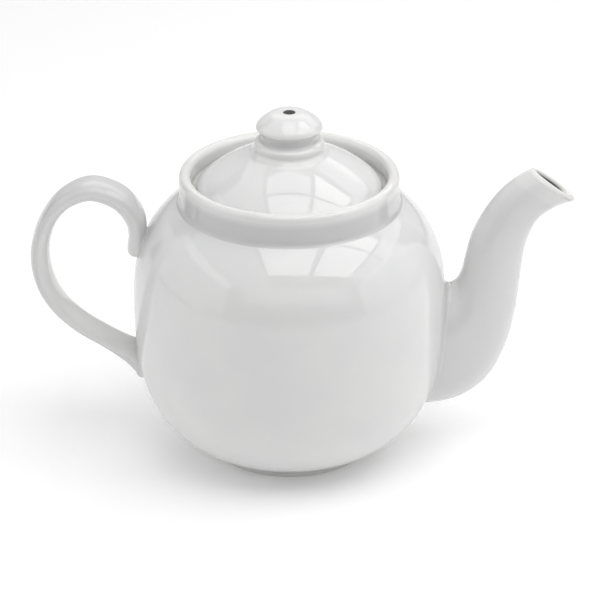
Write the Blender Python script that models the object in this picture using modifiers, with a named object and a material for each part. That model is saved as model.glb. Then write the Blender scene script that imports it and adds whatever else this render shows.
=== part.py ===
"""Porcelain teapot: round belly, S-shaped pouring spout, ear handle and a lift-off lid.

Frame: +Z up, foot on z = 0, spout towards +X, handle towards -X, origin under the middle
of the object's length.  The pot's axis stands at x = AXIS_X.  Lengths in the tables are mm.
"""
import math

import bmesh
import bpy
from mathutils import Vector

# ---------------------------------------------------------------- driving dimensions (mm)
MM = 0.001
AXIS_X = -5.8
GAP = 0.3
STEPS = 40

BELLY_R = 70.0
BELLY_MID_Z = 73.4
BELLY_LOW_H = 73.5
BELLY_LOW_N = 2.92
BELLY_TOP_H = 58.0
BELLY_TOP_N = 2.55
WALL = 3.6
FLOOR_Z = 3.9
FLOOR_INNER_Z = 7.8
FOOT_R = 36.3
FOOT_INNER_R = 31.6
SHOULDER_Z = 119.6
OPENING_R = 40.5
OPENING_UNDER_Z = 115.6

COLLAR_R = 48.9
COLLAR_BORE_R = 43.7
COLLAR_TOP_Z = 134.5
LEDGE_Z = 126.1
LEDGE_R = 38.6

LID_REST_Z = LEDGE_Z + GAP
LID_EDGE_R = 41.2
DOME_R = 42.48
DOME_BASE_Z = 125.23
DOME_H = 24.09
DOME_IN = 1.287
DOME_OUT = 1.531
LID_WALL = 3.8
KNOB_SEAT_R = 15.9
KNOB_SEAT_Z = 144.5
SKIRT_R = 37.9
SKIRT_BORE_R = 34.9
SKIRT_LOW_Z = 117.2
VENT_R = 3.0
VENT_LOW_R = 1.5

SPOUT_SIDES = 24
SPOUT_WALL = 2.7
SPOUT_LIP = 1.35
STRAINER_R = 1.4
HANDLE_SIDES = 20
HANDLE_POWER = 2.5
SLIP_THICK = 1.1
SLIP_WIDE = 1.1

# Spout: upper point, lower point (x from the pot's axis, z) and half width across, root to mouth.
SPOUT_CHORDS = [
    ((56.0, 77.0), (48.0, 21.4), 16.8),
    ((68.6, 78.6), (62.0, 20.4), 16.4),
    ((74.4, 80.8), (77.0, 23.7), 15.6),
    ((77.0, 85.6), (89.4, 33.2), 14.6),
    ((78.5, 92.2), (97.3, 48.4), 13.4),
    ((79.9, 98.8), (101.5, 65.4), 12.1),
    ((81.6, 104.8), (103.5, 82.5), 10.8),
    ((85.5, 113.4), (105.3, 98.6), 9.4),
    ((91.3, 122.4), (110.3, 111.3), 8.0),
    ((98.6, 130.2), (118.6, 117.9), 6.7),
    ((107.6, 136.2), (127.8, 121.3), 5.5),
]
# Handle: centre line (x from the pot's axis, z), half thickness and half width, top to bottom.
HANDLE_LINE = [
    (-68.4, 96.6, 4.1, 8.6),
    (-68.2, 99.5, 4.1, 8.8),
    (-67.7, 105.0, 4.1, 9.0),
    (-68.9, 113.2, 4.4, 9.2),
    (-75.6, 122.0, 4.5, 9.2),
    (-87.4, 126.4, 4.3, 9.1),
    (-98.2, 122.6, 3.7, 8.8),
    (-105.8, 114.5, 3.5, 8.6),
    (-110.2, 103.8, 3.9, 8.6),
    (-111.5, 92.5, 4.3, 8.6),
    (-109.2, 80.3, 4.2, 8.6),
    (-103.3, 69.6, 3.8, 8.6),
    (-94.0, 60.5, 3.5, 8.6),
    (-83.4, 53.5, 3.3, 8.6),
    (-76.4, 49.0, 3.8, 8.8),
    (-70.2, 44.9, 4.9, 9.0),
    (-66.6, 40.6, 4.9, 9.0),
    (-65.3, 36.4, 4.2, 8.6),
]
# Strainer: hole centres as (sideways, height) on the wall behind the spout's root.
STRAINER_HOLES = [
    (0.0, 34.6), (-6.2, 39.6), (6.2, 39.6), (0.0, 44.6), (-6.2, 49.6), (6.2, 49.6),
    (0.0, 54.6), (-6.2, 59.6), (6.2, 59.6), (0.0, 64.6), (-6.2, 69.6), (6.2, 69.6),
]

# ---------------------------------------------------------------- scene and collections
for old in list(bpy.data.objects):
    bpy.data.objects.remove(old, do_unlink=True)

parts = bpy.data.collections.new("teapot")
bpy.context.scene.collection.children.link(parts)
jigs = bpy.data.collections.new("teapot_cutters")
bpy.context.scene.collection.children.link(jigs)


def add_empty(name, location, parent=None):
    empty = bpy.data.objects.new(name, None)
    empty.empty_display_size = 0.02
    empty.location = location
    empty.parent = parent
    parts.objects.link(empty)
    return empty


pot_axis = add_empty("pot_axis", (AXIS_X * MM, 0.0, 0.0))
lid_axis = add_empty("lid_axis", (0.0, 0.0, LEDGE_Z * MM), pot_axis)


def porcelain(name, color, roughness):
    material = bpy.data.materials.new(name)
    material.use_nodes = True
    shader = material.node_tree.nodes["Principled BSDF"]
    shader.inputs["Base Color"].default_value = (*color, 1.0)
    shader.inputs["Roughness"].default_value = roughness
    shader.inputs["Metallic"].default_value = 0.0
    return material


GLAZE = (0.80, 0.80, 0.79)


def add_part(name, mesh, parent=pot_axis, roughness=0.12):
    obj = bpy.data.objects.new(name, mesh)
    mesh.materials.append(porcelain(name, GLAZE, roughness))
    mesh.shade_smooth()
    obj.parent = parent
    if parent == lid_axis:
        obj.location = (0.0, 0.0, -LEDGE_Z * MM)
    parts.objects.link(obj)
    return obj


def add_jig(name, mesh):
    obj = bpy.data.objects.new(name, mesh)
    obj.parent = pot_axis
    obj.hide_render = True
    obj.display_type = "WIRE"
    jigs.objects.link(obj)
    return obj


# ---------------------------------------------------------------- profile helpers
def superellipse(radius, mid_z, height, power, z):
    share = min(1.0, abs(z - mid_z) / height)
    return radius * (1.0 - share ** power) ** (1.0 / power)


def belly_radius(z):
    if z < BELLY_MID_Z:
        return superellipse(BELLY_R, BELLY_MID_Z, BELLY_LOW_H, BELLY_LOW_N, z)
    return superellipse(BELLY_R, BELLY_MID_Z, BELLY_TOP_H, BELLY_TOP_N, z)


def cavity_radius(z):
    if z < BELLY_MID_Z:
        depth = BELLY_MID_Z - FLOOR_INNER_Z
        return superellipse(BELLY_R - WALL, BELLY_MID_Z, depth, BELLY_LOW_N, z)
    return superellipse(BELLY_R - WALL, BELLY_MID_Z, BELLY_TOP_H - WALL, BELLY_TOP_N, z)


def dome_z(r):
    return DOME_BASE_Z + DOME_H * (1.0 - (r / DOME_R) ** DOME_IN) ** (1.0 / DOME_OUT)


def arc(center_r, center_z, radius, start, end, count):
    points = []
    for i in range(count + 1):
        angle = math.radians(start + (end - start) * i / count)
        points.append((center_r + radius * math.cos(angle), center_z + radius * math.sin(angle)))
    return points


def eased(start, end, count, ease):
    values = []
    for i in range(count + 1):
        share = i / count
        values.append(start + (end - start) * (1.0 - (1.0 - share) ** ease))
    return values


def turned(name, profile, closed, steps=STEPS):
    """Turn a profile of (radius, height) about the part's own Z axis."""
    mesh = bpy.data.meshes.new(name)
    vertices = [(r * MM, 0.0, z * MM) for r, z in profile]
    edges = [(i, i + 1) for i in range(len(profile) - 1)]
    if closed:
        edges.append((len(profile) - 1, 0))
    mesh.from_pydata(vertices, edges, [])
    return mesh, steps


def add_screw(obj, steps):
    screw = obj.modifiers.new("turn", "SCREW")
    screw.axis = "Z"
    screw.angle = math.radians(360.0)
    screw.steps = steps
    screw.render_steps = steps
    screw.use_merge_vertices = True
    screw.merge_threshold = 0.00001
    screw.use_smooth_shade = True
    return screw


def add_turned(name, profile, closed=True, steps=STEPS, parent=pot_axis, roughness=0.12):
    mesh, count = turned(name, profile, closed, steps)
    obj = add_part(name, mesh, parent, roughness)
    add_screw(obj, count)
    return obj


def add_turned_jig(name, profile, closed=False, steps=STEPS):
    mesh, count = turned(name, profile, closed, steps)
    obj = add_jig(name, mesh)
    add_screw(obj, count)
    return obj


def cut(obj, cutter, operation="DIFFERENCE"):
    boolean = obj.modifiers.new("cut_" + cutter.name, "BOOLEAN")
    boolean.operation = operation
    boolean.solver = "EXACT"
    boolean.object = cutter
    return boolean


# ---------------------------------------------------------------- belly
upper_rows = eased(SHOULDER_Z, BELLY_MID_Z, 9, 0.72)
lower_rows = eased(FLOOR_Z, BELLY_MID_Z, 9, 0.62)
outer = [(belly_radius(z), z) for z in upper_rows]
outer += [(belly_radius(z), z) for z in reversed(lower_rows[:-1])]


def offset_profile(profile, distance):
    """Move each point of a belly profile outwards along the normal of its neighbours."""
    moved = []
    for i, (r, z) in enumerate(profile):
        before = profile[max(0, i - 1)]
        after = profile[min(len(profile) - 1, i + 1)]
        run = Vector((after[0] - before[0], after[1] - before[1])).normalized()
        moved.append((r - run.y * distance, z + run.x * distance))
    return moved


inner_upper = eased(114.6, BELLY_MID_Z, 7, 0.75)
inner_lower = eased(FLOOR_INNER_Z + 0.35, BELLY_MID_Z, 7, 0.6)
cavity = [(0.0, FLOOR_INNER_Z)]
cavity += [(cavity_radius(z), z) for z in inner_lower[:-1]]
cavity += [(cavity_radius(z), z) for z in reversed(inner_upper)]
cavity += [(46.4, OPENING_UNDER_Z + 0.1), (42.4, OPENING_UNDER_Z)]
cavity += [(OPENING_R + 0.4, OPENING_UNDER_Z + 0.5), (OPENING_R, OPENING_UNDER_Z + 1.4)]
cavity += [(OPENING_R, SHOULDER_Z - 0.6), (OPENING_R + 0.6, SHOULDER_Z)]
belly = add_turned("belly", outer + [(0.0, FLOOR_Z)] + cavity, roughness=0.10)

jig_outer = [(0.0, 128.0), (44.0, 126.0)]
seat_jig = add_turned_jig("belly_seat_jig", jig_outer + offset_profile(outer, GAP) + [(0.0, FLOOR_Z)])
skin_jig = add_turned_jig(
    "belly_skin_jig", jig_outer + offset_profile(outer, GAP + SLIP_THICK) + [(0.0, FLOOR_Z)]
)

# ---------------------------------------------------------------- foot ring and rim collar
foot_top = FLOOR_Z - GAP
add_turned(
    "foot_ring",
    [(FOOT_R - 0.1, foot_top)]
    + [(FOOT_R, 2.4)]
    + arc(FOOT_R - 0.9, 0.9, 0.9, 0.0, -90.0, 3)
    + arc(FOOT_INNER_R + 0.9, 0.9, 0.9, -90.0, -180.0, 3)
    + [(FOOT_INNER_R, foot_top)],
    roughness=0.35,
)
collar_low = SHOULDER_Z + GAP
lip_r = (COLLAR_R - COLLAR_BORE_R) / 2.0
add_turned(
    "rim_collar",
    list(reversed(arc(COLLAR_R - lip_r, COLLAR_TOP_Z - lip_r, lip_r, 0.0, 90.0, 4)))
    + [(COLLAR_R, 126.0), (COLLAR_R, 122.6), (COLLAR_R + 0.3, 121.1), (COLLAR_R + 1.0, collar_low)]
    + [(LEDGE_R, collar_low), (LEDGE_R, LEDGE_Z - 0.6), (LEDGE_R + 0.6, LEDGE_Z)]
    + [(COLLAR_BORE_R - 0.8, LEDGE_Z), (COLLAR_BORE_R, LEDGE_Z + 0.8)]
    + list(reversed(arc(COLLAR_R - lip_r, COLLAR_TOP_Z - lip_r, lip_r, 112.0, 180.0, 3))),
    roughness=0.10,
)

# ---------------------------------------------------------------- lid
dome_rows = eased(LID_EDGE_R - 0.35, KNOB_SEAT_R + 0.1, 9, 1.45)
dome = [(KNOB_SEAT_R - 0.2, KNOB_SEAT_Z)]
dome += [(r, dome_z(r)) for r in reversed(dome_rows)]
dome += [(LID_EDGE_R, dome_z(LID_EDGE_R) - 0.4), (LID_EDGE_R - 0.5, LID_REST_Z)]
under = [(34.4, LID_REST_Z), (34.2, 128.4), (33.2, 131.2), (29.0, 134.3), (23.0, 137.3)]
under += [(16.0, 140.2), (9.0, KNOB_SEAT_Z - LID_WALL)]
under += [(VENT_LOW_R + 0.5, KNOB_SEAT_Z - LID_WALL), (VENT_LOW_R + 0.5, KNOB_SEAT_Z)]
add_turned("lid_dome", dome + under, parent=lid_axis, roughness=0.10)

add_turned(
    "lid_skirt",
    [(SKIRT_R, LEDGE_Z), (SKIRT_R, 121.0), (SKIRT_R - 0.5, SKIRT_LOW_Z + 1.1)]
    + [(SKIRT_R - 1.1, SKIRT_LOW_Z), (SKIRT_BORE_R + 0.6, SKIRT_LOW_Z)]
    + [(SKIRT_BORE_R, SKIRT_LOW_Z + 0.8), (SKIRT_BORE_R, LEDGE_Z)],
    parent=lid_axis,
    roughness=0.14,
)

KNOB_STEPS = 28
knob_low = KNOB_SEAT_Z + GAP
cap = [(VENT_R + 0.7, 162.9), (5.6, 162.9), (7.4, 162.5), (9.0, 161.8), (10.5, 160.8), (12.1, 159.6)]
cap += [(13.4, 158.4), (14.2, 157.3), (14.6, 156.4), (14.5, 155.9)]
knob = [(VENT_R, 162.3)] + cap
knob += [(13.6, 154.9), (12.9, 153.9), (12.5, 152.8), (12.5, 151.3), (13.1, 150.3)]
knob += [(14.6, 149.8), (15.5, 148.8), (15.7, 147.8), (15.7, knob_low), (VENT_LOW_R, knob_low)]
knob += [(VENT_LOW_R, 153.6), (VENT_R, 155.8)]
add_turned("knob", knob, steps=KNOB_STEPS, parent=lid_axis, roughness=0.10)

bed = []
for r in (17.8, KNOB_SEAT_R + 0.2):
    bed.append((r, dome_z(r) + GAP + 0.12))
slip = [(KNOB_SEAT_R + 0.2, 146.2), (16.4, 145.6), (16.9, 145.0), (17.8, bed[0][1] + 0.3)]
add_turned("knob_slip_joint", slip + bed, steps=KNOB_STEPS, parent=lid_axis)


# ---------------------------------------------------------------- spout
def cardinal(values, share):
    """Read a smooth curve through rows of numbers at a share of 0 to 1 of its length."""
    place = share * (len(values) - 1)
    k = min(int(place), len(values) - 2)
    t = place - k
    row = []
    for j in range(len(values[0])):
        b = values[k][j]
        c = values[k + 1][j]
        a = values[k - 1][j] if k > 0 else 2.0 * b - c
        d = values[k + 2][j] if k + 2 < len(values) else 2.0 * c - b
        slope_b = (c - a) / 2.0
        slope_c = (d - b) / 2.0
        cube = (2.0 * b - 2.0 * c + slope_b + slope_c) * t ** 3
        square = (3.0 * c - 3.0 * b - 2.0 * slope_b - slope_c) * t ** 2
        row.append(cube + square + slope_b * t + b)
    return row


def chord_ring(share, inset, slide=0.0):
    """Oval section across the spout, drawn in by inset and slid along the spout's normal."""
    rows = [(u[0], u[1], low[0], low[1], wide) for u, low, wide in SPOUT_CHORDS]
    ux, uz, lx, lz, wide = cardinal(rows, share)
    center = Vector(((ux + lx) / 2.0, 0.0, (uz + lz) / 2.0))
    half = Vector(((ux - lx) / 2.0, 0.0, (uz - lz) / 2.0))
    across = half.normalized()
    normal = Vector((across.z * -1.0, 0.0, across.x)) * -1.0
    major = half.length - inset
    minor = wide - inset
    ring = []
    for i in range(SPOUT_SIDES):
        angle = 2.0 * math.pi * i / SPOUT_SIDES
        point = center + across * (major * math.cos(angle)) + normal * slide
        point += Vector((0.0, minor * math.sin(angle), 0.0))
        ring.append(point * MM)
    return ring


def loft(name, rings, closed_loop, capped):
    mesh = bpy.data.meshes.new(name)
    bm = bmesh.new()
    rows = [[bm.verts.new(point) for point in ring] for ring in rings]
    pairs = list(zip(rows[:-1], rows[1:]))
    if closed_loop:
        pairs.append((rows[-1], rows[0]))
    for low, high in pairs:
        for i in range(len(low)):
            j = (i + 1) % len(low)
            bm.faces.new((low[i], low[j], high[j], high[i]))
    if capped:
        bm.faces.new(list(reversed(rows[0])))
        bm.faces.new(rows[-1])
    bmesh.ops.recalc_face_normals(bm, faces=bm.faces)
    bm.to_mesh(mesh)
    bm.free()
    return mesh


def spout_rings(shares, inset):
    return [chord_ring(share, inset) for share in shares]


SHARES = [0.0, 0.1, 0.16, 0.22, 0.29, 0.36, 0.43, 0.5, 0.57, 0.64, 0.71, 0.78, 0.85, 0.92, 0.97]
body_rings = spout_rings(SHARES, 0.0)
lip_rings = [
    chord_ring(1.0, 0.0, -0.9),
    chord_ring(1.0, 0.35, -0.25),
    chord_ring(1.0, SPOUT_LIP, 0.0),
    chord_ring(1.0, 2.0 * SPOUT_LIP - 0.35, -0.3),
    chord_ring(1.0, 2.0 * SPOUT_LIP, -1.1),
]
bore_rings = spout_rings(list(reversed(SHARES[:-1])), SPOUT_WALL)
spout = add_part("spout", loft("spout", body_rings + lip_rings + bore_rings, True, False))
cut(spout, seat_jig)

slip_shares = SHARES[:5]
spout_slip = add_part(
    "spout_slip_joint",
    loft(
        "spout_slip_joint",
        spout_rings(slip_shares, -GAP - SLIP_WIDE) + list(reversed(spout_rings(slip_shares, -GAP))),
        True,
        False,
    ),
)
cut(spout_slip, seat_jig)
cut(spout_slip, skin_jig, "INTERSECT")


def add_strainer_drill(index, side, height):
    bm = bmesh.new()
    bmesh.ops.create_cone(
        bm, cap_ends=True, segments=12, radius1=STRAINER_R * MM, radius2=STRAINER_R * MM, depth=0.03
    )
    mesh = bpy.data.meshes.new("strainer_drill")
    bm.to_mesh(mesh)
    bm.free()
    drill = add_jig("strainer_drill_%02d" % index, mesh)
    drill.rotation_euler = (0.0, math.radians(90.0), 0.0)
    drill.location = (belly_radius(height) * MM, side * MM, height * MM)
    return drill


for index, (side, height) in enumerate(STRAINER_HOLES):
    cut(belly, add_strainer_drill(index, side, height))


# ---------------------------------------------------------------- handle
def strap_ring(share, swell, slide=0.0):
    """Oval section of the handle, grown by swell and slid along the centre line."""
    x, z, thick, wide = cardinal(HANDLE_LINE, share)
    before = cardinal(HANDLE_LINE, max(0.0, share - 0.01))
    after = cardinal(HANDLE_LINE, min(1.0, share + 0.01))
    run = Vector((after[0] - before[0], 0.0, after[1] - before[1])).normalized()
    normal = Vector((-run.z, 0.0, run.x))
    center = Vector((x, 0.0, z)) + run * slide
    ring = []
    for i in range(HANDLE_SIDES):
        angle = 2.0 * math.pi * i / HANDLE_SIDES
        away = math.copysign(abs(math.cos(angle)) ** (2.0 / HANDLE_POWER), math.cos(angle))
        side = math.copysign(abs(math.sin(angle)) ** (2.0 / HANDLE_POWER), math.sin(angle))
        point = center + normal * ((thick + swell) * away)
        point += Vector((0.0, (wide + swell) * side, 0.0))
        ring.append(point * MM)
    return ring


def strap_mesh(name, swell, first=0, last=34):
    """Strap between two stations of its centre line, with blunt rounded ends."""
    rings = [strap_ring(i / 34.0, swell) for i in range(first, last + 1)]
    if first == 0:
        tip = strap_ring(0.0, swell - 1.1, -1.0 - swell)
        rings = [tip, strap_ring(0.0, swell - 0.3, -0.7 - swell)] + rings
    if last == 34:
        tip = strap_ring(1.0, swell - 1.1, 1.0 + swell)
        rings += [strap_ring(1.0, swell - 0.3, 0.7 + swell), tip]
    return loft(name, rings, False, True)


handle = add_part("handle", strap_mesh("handle", 0.0))
cut(handle, seat_jig)
strap_jig = add_jig("handle_seat_jig", strap_mesh("handle_seat_jig", GAP))


for name, first, last in (
    ("handle_upper_slip_joint", 0, 9),
    ("handle_lower_slip_joint", 24, 34),
):
    sleeve = add_part(name, strap_mesh(name, GAP + SLIP_WIDE, first, last))
    cut(sleeve, skin_jig, "INTERSECT")
    cut(sleeve, seat_jig)
    cut(sleeve, strap_jig)
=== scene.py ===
"""Looks of the white porcelain teapot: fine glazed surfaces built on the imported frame."""

import math

import bpy
import numpy as np
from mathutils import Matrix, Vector
from mathutils.bvhtree import BVHTree


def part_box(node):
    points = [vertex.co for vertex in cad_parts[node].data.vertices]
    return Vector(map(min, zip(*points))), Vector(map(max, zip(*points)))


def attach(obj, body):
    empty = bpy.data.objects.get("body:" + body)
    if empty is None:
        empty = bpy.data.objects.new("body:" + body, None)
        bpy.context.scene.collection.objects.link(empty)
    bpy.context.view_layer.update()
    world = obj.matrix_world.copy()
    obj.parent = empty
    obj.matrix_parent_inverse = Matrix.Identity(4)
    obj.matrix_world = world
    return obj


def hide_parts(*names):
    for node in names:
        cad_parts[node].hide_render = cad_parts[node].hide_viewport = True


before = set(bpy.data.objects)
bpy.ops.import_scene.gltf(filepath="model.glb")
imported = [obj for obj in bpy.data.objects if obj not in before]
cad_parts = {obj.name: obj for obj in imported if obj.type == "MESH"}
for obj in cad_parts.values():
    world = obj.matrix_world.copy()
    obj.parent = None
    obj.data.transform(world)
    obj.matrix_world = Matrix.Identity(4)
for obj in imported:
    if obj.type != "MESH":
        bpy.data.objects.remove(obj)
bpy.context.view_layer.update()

# ---------------------------------------------------------------- measures, in mm
MM = 0.001
foot_low, foot_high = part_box("foot_ring")
AXIS_X = (foot_low.x + foot_high.x) / 2.0 / MM
TURN_STEPS = 256

BELLY_R, BELLY_MID_Z = 70.0, 73.4
BELLY_LOW_H, BELLY_LOW_N = 73.5, 2.92
BELLY_TOP_H, BELLY_TOP_N = 58.0, 2.55
WALL = 3.6
FLOOR_Z, FLOOR_INNER_Z = 3.9, 7.8
FOOT_R, FOOT_INNER_R = 36.3, 31.6
OPENING_R, OPENING_UNDER_Z, BELLY_CUT_Z = 40.5, 115.6, 120.4

COLLAR_R, COLLAR_BORE_R, COLLAR_TOP_Z = 48.9, 43.7, 134.5
LEDGE_R, LEDGE_Z = 38.6, 126.1
COLLAR_FILLET = 3.2

DOME_R, DOME_BASE_Z, DOME_H, DOME_IN, DOME_OUT = 42.48, 125.23, 24.09, 1.287, 1.531
LID_EDGE_R, LID_CORNER_R, LID_UNDER_Z, LID_CROWN_Z = 41.2, 41.0, 127.2, 141.0
SKIRT_R, SKIRT_BORE_R, SKIRT_LOW_Z, SKIRT_ROOT_Z = 37.9, 34.9, 117.2, 127.4
KNOB_FOOT_R, KNOB_LOW_Z, KNOB_TOP_Z, KNOB_STEPS = 15.7, 143.6, 163.0, 160
VENT_R, VENT_LOW_R = 2.65, 1.5

SPOUT_SIDES, SPOUT_WALL, SPOUT_LIP, MOUTH_TIP = 112, 2.7, 1.25, 1.8
HANDLE_SIDES, HANDLE_POWER = 80, 2.5
HANDLE_FIRST, HANDLE_LAST, END_ROUND = 0.0243, 0.984, 1.5
HANDLE_MIDDLE_Z = 70.0
STRAINER_R, STRAINER_FLARE = 1.4, 0.7
SPOUT_ROWS, LIP_ROWS, BORE_ROWS, LIP_FADE_ROWS = 130, 15, 90, 15
LIP_SHARE = 0.0125

# Spout: upper x, z, lower x, z (x from the pot's axis) and half width across, root to mouth.
SPOUT_CHORDS = np.array([
    (56.0, 77.0, 48.0, 21.4, 16.8),
    (68.6, 78.6, 62.0, 20.4, 16.4),
    (74.4, 80.8, 77.0, 23.7, 15.6),
    (77.0, 85.6, 89.4, 33.2, 14.6),
    (78.5, 92.2, 97.3, 48.4, 13.4),
    (79.9, 98.8, 101.5, 65.4, 12.1),
    (81.6, 104.8, 103.5, 82.5, 10.8),
    (85.5, 113.4, 105.3, 98.6, 9.4),
    (91.3, 122.4, 110.3, 111.3, 8.0),
    (98.6, 130.2, 118.6, 117.9, 6.7),
    (107.6, 136.2, 127.8, 121.3, 5.5),
])
# Handle: centre line (x from the pot's axis, z), half thickness and half width, top to bottom.
HANDLE_LINE = np.array([
    (-68.4, 96.6, 4.1, 8.6),
    (-68.2, 99.5, 4.1, 8.8),
    (-67.7, 105.0, 4.1, 9.0),
    (-68.9, 113.2, 4.4, 9.2),
    (-75.6, 122.0, 4.5, 9.2),
    (-87.4, 126.4, 4.3, 9.1),
    (-98.2, 122.6, 3.7, 8.8),
    (-105.8, 114.5, 3.5, 8.6),
    (-110.2, 103.8, 3.9, 8.6),
    (-111.5, 92.5, 4.3, 8.6),
    (-109.2, 80.3, 4.2, 8.6),
    (-103.3, 69.6, 3.8, 8.6),
    (-94.0, 60.5, 3.5, 8.6),
    (-83.4, 53.5, 3.3, 8.6),
    (-76.4, 49.0, 3.8, 8.8),
    (-70.2, 44.9, 4.9, 9.0),
    (-66.6, 40.6, 4.9, 9.0),
    (-65.3, 36.4, 4.2, 8.6),
])
STRAINER_HOLES = [
    (0.0, 34.6), (-6.2, 39.6), (6.2, 39.6), (0.0, 44.6), (-6.2, 49.6), (6.2, 49.6),
    (0.0, 54.6), (-6.2, 59.6), (6.2, 59.6), (0.0, 64.6), (-6.2, 69.6), (6.2, 69.6),
]

# Painted tone: above 0 greyer, as pooled glaze and painted shade; above 1 near-black, as painted shade in
# bores; below 0 lighter, as thin glaze and painted highlight.
LIP_THIN_GLAZE_AND_HIGHLIGHT, BORE_PAINTED_SHADE = -0.6, 1.9
# The whole spout is painted a little greyer as shade, and the vent's bore near-black as painted shade.
SPOUT_PAINTED_SHADE, VENT_PAINTED_SHADE = 0.18, 1.8


# ---------------------------------------------------------------- curves and profiles
def belly_radius(z):
    z = np.asarray(z, float)
    low = np.clip(np.abs(z - BELLY_MID_Z) / BELLY_LOW_H, 0.0, 1.0)
    top = np.clip(np.abs(z - BELLY_MID_Z) / BELLY_TOP_H, 0.0, 1.0)
    low_r = BELLY_R * (1.0 - low ** BELLY_LOW_N) ** (1.0 / BELLY_LOW_N)
    top_r = BELLY_R * (1.0 - top ** BELLY_TOP_N) ** (1.0 / BELLY_TOP_N)
    return np.where(z < BELLY_MID_Z, low_r, top_r)


def dome_z(r):
    return DOME_BASE_Z + DOME_H * (1.0 - (np.asarray(r) / DOME_R) ** DOME_IN) ** (1.0 / DOME_OUT)


def quarter(radius, height, power, sign):
    """Dense quarter of a superellipse from its widest point to its pole."""
    angle = np.linspace(0.0, math.pi / 2.0, 3000)
    r = radius * np.cos(angle).clip(0.0, 1.0) ** (2.0 / power)
    z = BELLY_MID_Z + sign * height * np.sin(angle) ** (2.0 / power)
    r[-1] = 0.0
    return np.column_stack((r, z))


def resample(points, step):
    """Points a given distance apart along a polyline, its two ends kept."""
    points = np.asarray(points, float)
    run = np.concatenate(([0.0], np.cumsum(np.linalg.norm(np.diff(points, axis=0), axis=1))))
    places = np.linspace(0.0, run[-1], max(2, int(round(run[-1] / step)) + 1))
    return np.column_stack([np.interp(places, run, points[:, k]) for k in range(points.shape[1])])


def line(start, end, step=1.5):
    """Straight run whose points lie closer together at its two ends."""
    start, end = np.asarray(start, float), np.asarray(end, float)
    count = max(3, int(np.linalg.norm(end - start) / step) + 4)
    share = 0.5 - 0.5 * np.cos(np.linspace(0.0, math.pi, count))
    return start + (end - start) * share[:, None]


def arc(center_r, center_z, radius, start, end, step_deg=9.0):
    count = max(4, int(abs(end - start) / step_deg) + 1)
    angle = np.radians(np.linspace(start, end, count))
    return np.column_stack((center_r + radius * np.cos(angle), center_z + radius * np.sin(angle)))


def rounded(corners, step=1.5):
    """Path through (r, z, radius) corners, each with its own rounding."""
    path = []
    here = None
    for i, (r, z, radius) in enumerate(corners):
        corner = np.array((r, z))
        if radius <= 0.0 or i in (0, len(corners) - 1):
            entry = leave = corner
            bend = np.zeros((0, 2))
        else:
            back = np.array(corners[i - 1][:2]) - corner
            ahead = np.array(corners[i + 1][:2]) - corner
            back /= np.linalg.norm(back)
            ahead /= np.linalg.norm(ahead)
            half = math.acos(max(-1.0, min(1.0, float(back @ ahead)))) / 2.0
            entry = corner + back * (radius / math.tan(half))
            leave = corner + ahead * (radius / math.tan(half))
            center = corner + (back + ahead) / np.linalg.norm(back + ahead) * (radius / math.sin(half))
            sweep = math.pi - 2.0 * half
            count = max(4, int(math.degrees(sweep) / 10.0) + 2)
            spread = np.linspace(0.0, 1.0, count)[1:-1]
            a, b = entry - center, leave - center
            bend = np.array([
                center + (a * math.sin((1.0 - t) * sweep) + b * math.sin(t * sweep)) / math.sin(sweep)
                for t in spread
            ])
        if here is not None:
            path.append(line(here, entry, step)[1:])
        else:
            path.append(entry[None])
        if len(bend):
            path.append(bend)
        if np.linalg.norm(leave - entry) > 1e-6:
            path.append(leave[None])
        here = leave
    return np.vstack(path)


def spline(points, step):
    """Smooth curve through points, evenly spaced along its length."""
    points = np.asarray(points, float)
    share = np.linspace(0.0, 1.0, 60 * len(points))
    return resample(cardinal(points, share), step)


def cardinal(rows, share):
    """Smooth curve through rows of numbers, read at shares of 0 to 1 of its length."""
    share = np.atleast_1d(np.asarray(share, float))
    place = share * (len(rows) - 1)
    k = np.minimum(place.astype(int), len(rows) - 2)
    t = (place - k)[..., None]
    padded = np.vstack((2.0 * rows[0] - rows[1], rows, 2.0 * rows[-1] - rows[-2]))
    a, b, c, d = (padded[k + j] for j in range(4))
    slope_b, slope_c = (c - a) / 2.0, (d - b) / 2.0
    cube = (2.0 * b - 2.0 * c + slope_b + slope_c) * t ** 3
    square = (3.0 * c - 3.0 * b - 2.0 * slope_b - slope_c) * t ** 2
    return cube + square + slope_b * t + b


def fillet_on_belly(wall_r, radius, high):
    """Centre height and touching point of a round fillet between an upright wall and the belly."""
    curve = quarter(BELLY_R, BELLY_TOP_H, BELLY_TOP_N, 1.0) if high else quarter(
        BELLY_R, BELLY_LOW_H, BELLY_LOW_N, -1.0
    )
    center_r = wall_r + radius
    low, top = (BELLY_MID_Z, 140.0) if high else (-8.0, BELLY_MID_Z)
    for _ in range(60):
        middle = (low + top) / 2.0
        near = np.linalg.norm(curve - (center_r, middle), axis=1).min()
        inside = near < radius or belly_radius(middle) > center_r
        if high:
            low, top = (middle, top) if inside else (low, middle)
        else:
            low, top = (low, middle) if inside else (middle, top)
    middle = (low + top) / 2.0
    touch = curve[np.linalg.norm(curve - (center_r, middle), axis=1).argmin()]
    return middle, touch


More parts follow.
